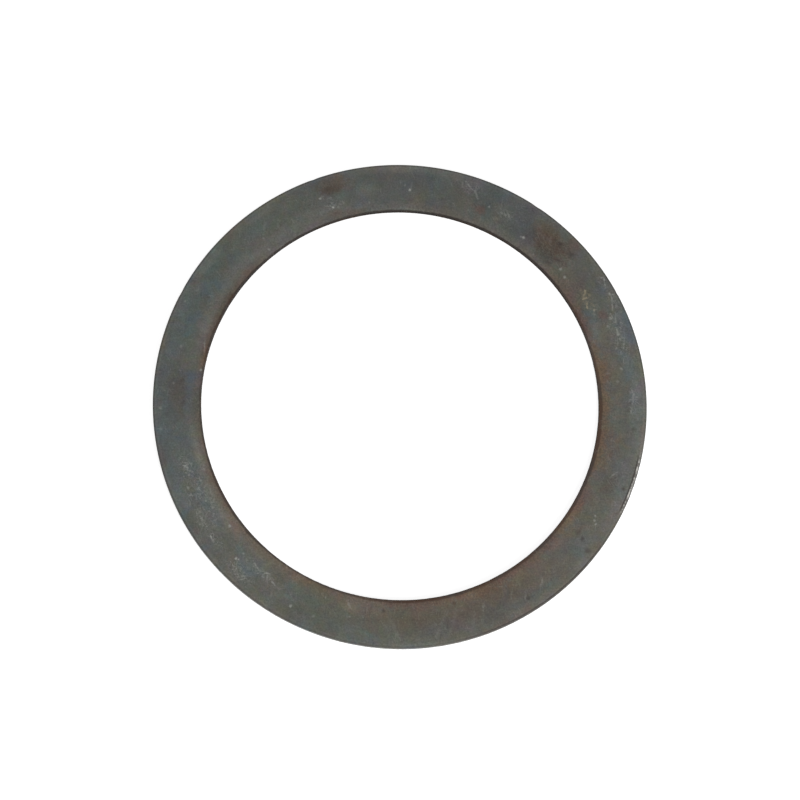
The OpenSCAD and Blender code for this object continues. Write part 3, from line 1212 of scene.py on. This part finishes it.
    # The relief reads only the grain, the hairlines and the crust by the bore, not the marks above
    full, gone, crustHeight = level["crust"]
    crust = fade(radius, boreRadius + full, boreRadius + gone, crustHeight, 0.0)
    height = plus(useGroup("grain", place=place)["height"], times(noise(place, "crust"), crust))
    height = less(height, times(strokes["hairlines"], level["hairlineDepth"]))
    finishSurface(material, color, metal, rough, height)
    return material


wallFinish = {
    "rimWall": (0.0, 0.0, 0.3),  # scale, rust and specular level
    # On the bore's wall the near-black scale is partly painted shade, for the shade inside the bore
    "boreWall": (0.97, 0.75, 0.05),
    "mottle": 2.0,
    "hue": 0.5,
    "scoring": (6.0, 6.0, 0.3),  # drawn out upright, along the punch's way
    "scored": 0.24,  # bare steel in the scoring
    "tornDark": 0.45,
    "wander": 0.5,  # how far the land's line goes up and down, in mm
    "lineEdge": 0.06,  # its softness, in mm
    "scoringEdge": (0.45, 0.65),
    "rustSpots": (0.46, 0.66, 0.0, 0.6),  # begin, full, least and most
    "scaleSpots": (0.42, 0.64),
    "scaleGaps": 0.75,  # share of the scale that is left between them
    "metal": (0.25, 0.3),  # everywhere, and what the land adds
    "rough": (0.8, 0.35),  # everywhere, and what the land takes off
    "tornRelief": (0.09, 0.08),  # height in mm, and what the land takes off
    "scoringRelief": 0.03,
    "rustRelief": 0.04,
}


def makeWallFinish(name):
    # A smooth land scored by the punch over a torn band, with scale and rust over both; on the bore's wall
    # the near-black scale is partly painted shade
    material = newMaterial(name)
    place = millimetres(material)
    level = wallFinish
    scaleAndShadeAmount, rusted, specular = level[name]
    z = put("SeparateXYZ", {0: place}).outputs[2]
    film = useGroup("oxideFilm", place=place, mottle=level["mottle"], hue=level["hue"], **oxidePaint)
    upright = put("Mapping", {"Vector": place, "Scale": level["scoring"]}).outputs[0]
    scoring = noise(upright, "scoring")
    line = plus(z, times(centred(noise(place, "wander")), level["wander"]))
    land = fade(line, tornHeight - level["lineEdge"], tornHeight + level["lineEdge"])
    torn = less(1.0, land)
    scored = times(fade(scoring, *level["scoringEdge"]), land, level["scored"])
    color = blend(scored, film["color"], paint["bareSteel"])
    color = blend(times(torn, level["tornDark"]), color, paint["darkScale"])
    blotches = noise(place, "blotches")
    rust = plus(rusted, fade(blotches, *level["rustSpots"]))
    coat = useGroup("rustCoat", place=place, under=color, mask=rust, **rustPaint)
    scale = fade(blotches, *level["scaleSpots"], scaleAndShadeAmount, scaleAndShadeAmount * level["scaleGaps"])
    color = blend(scale, coat["color"], paint["wallScale"])
    bare = less(1.0, calc("MINIMUM", rust, 1.0))
    plain, onLand = level["metal"]
    metal = times(bare, plus(plain, times(land, onLand)))
    plain, onLand = level["rough"]
    rough = less(plain, times(bare, land, onLand))
    plain, onLand = level["tornRelief"]
    tornRelief = times(noise(place, "torn"), less(plain, times(land, onLand)))
    height = plus(times(scoring, land, level["scoringRelief"]), tornRelief,
                  times(coat["height"], level["rustRelief"]))
    finishSurface(material, color, metal, rough, height, specular)
    return material


lowerFinish = {
    "shift": (310.0, -170.0, 90.0),  # takes its patterns from elsewhere than the upper face's, in mm
    "mottle": 1.3,
    "hue": 0.26,
    "strokes": 0.36,
    "hairlines": 0.22,
    "chips": 0.35,
    "chipSpacing": 2.4,
    "chipShare": 0.2,
    "patchRust": (0.52, 0.68, 0.0, 0.65),  # begins, full, least and most
    "boreRust": (1.6, 0.7, 2.8, 0.8),  # wander, full and gone in mm, amount
    "rimRust": (1.2, 0.4, 0.6, 0.5),  # wander, begins inside and full outside the rim, amount
    "grain": 1.3,
    "rustRelief": 0.03,
    "wornDepth": 0.012,
}


def makeLowerFinish():
    # The lower face has lain on other things: the same oxide, more rust, long rubbed marks
    material = newMaterial("lowerFace")
    level = lowerFinish
    place = millimetres(material, level["shift"])
    radius = useGroup("ringPlace", place=millimetres(material))["radius"]
    strokes = useGroup("strokes", place=place)
    film = useGroup("oxideFilm", place=place, mottle=level["mottle"], hue=level["hue"],
                    strokes=times(strokes["strokes"], level["strokes"]), **oxidePaint)
    patches = fade(noise(place, "rustPatches"), *level["patchRust"])
    ragged = noise(place, "ragged")
    jag, full, gone, amount = level["boreRust"]
    inner = fade(plus(radius, times(ragged, jag)), boreRadius + full, boreRadius + gone, amount, 0.0)
    jag, begins, full, amount = level["rimRust"]
    outer = fade(plus(radius, times(ragged, jag)), rimRadius - begins, rimRadius + full, 0.0, amount)
    rust = most(patches, inner, outer)
    coat = useGroup("rustCoat", place=place, under=film["color"], mask=rust, **rustPaint)
    chips = useGroup("chips", place=place, spacing=level["chipSpacing"], share=level["chipShare"])["mask"]
    worn = most(times(strokes["hairlines"], level["hairlines"]), times(chips, level["chips"]))
    color = blend(worn, coat["color"], paint["bareSteel"])
    metal, rough = faceShine(worn, rust, film["film"])
    height = plus(useGroup("grain", place=place, depth=level["grain"])["height"],
                  times(coat["height"], level["rustRelief"]))
    height = less(height, times(worn, level["wornDepth"]))
    finishSurface(material, color, metal, rough, height)
    return material


# In the order of nameSides
for finish in (makeFaceFinish(), makeWallFinish("rimWall"), makeLowerFinish(), makeWallFinish("boreWall")):
    ring.data.materials.append(finish)
print("finishes made")

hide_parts("washer")
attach(ring, "root")
